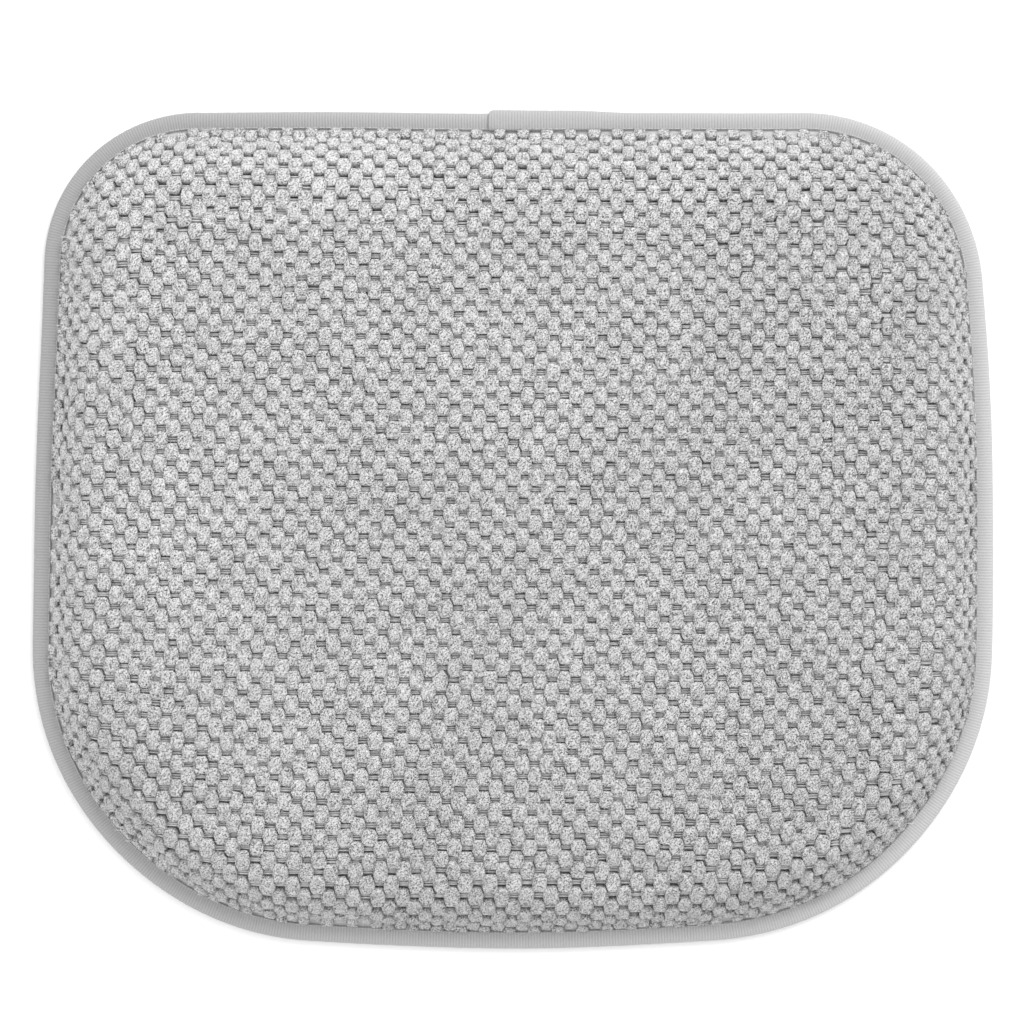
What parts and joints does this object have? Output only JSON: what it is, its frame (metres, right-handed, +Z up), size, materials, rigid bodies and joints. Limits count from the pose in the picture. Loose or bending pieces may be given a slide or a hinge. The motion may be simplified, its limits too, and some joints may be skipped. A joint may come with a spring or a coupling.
{
  "type": "chair pad",
  "caption": "Shaped memory foam seat pad with a tufted chenille cover, a ribbed tape bound round its flat rim, and a backing cloth with rubber grip dots.",
  "frame": {"origin": "middle of the plan, on the plane that the grip dots rest on", "axes": "+X across the pad to the sitter's left, +Y to the straight rear edge, +Z up through the thickness"},
  "size_m": [0.432, 0.3756, 0.0338],
  "materials": {
    "chenille": "matte",
    "foam": "matte",
    "backing_cloth": "matte",
    "grip_rubber": "satin",
    "binding_tape": "matte",
    "thread": "satin"
  },
  "bodies": {
    "root": {"chenille_cover": "chenille", "memory_foam_core": "foam", "non_slip_backing": "backing_cloth", "grip_dots": "grip_rubber", "edge_binding": "binding_tape", "needle_thread": "thread", "bobbin_thread": "thread"}
  },
  "joints": []
}
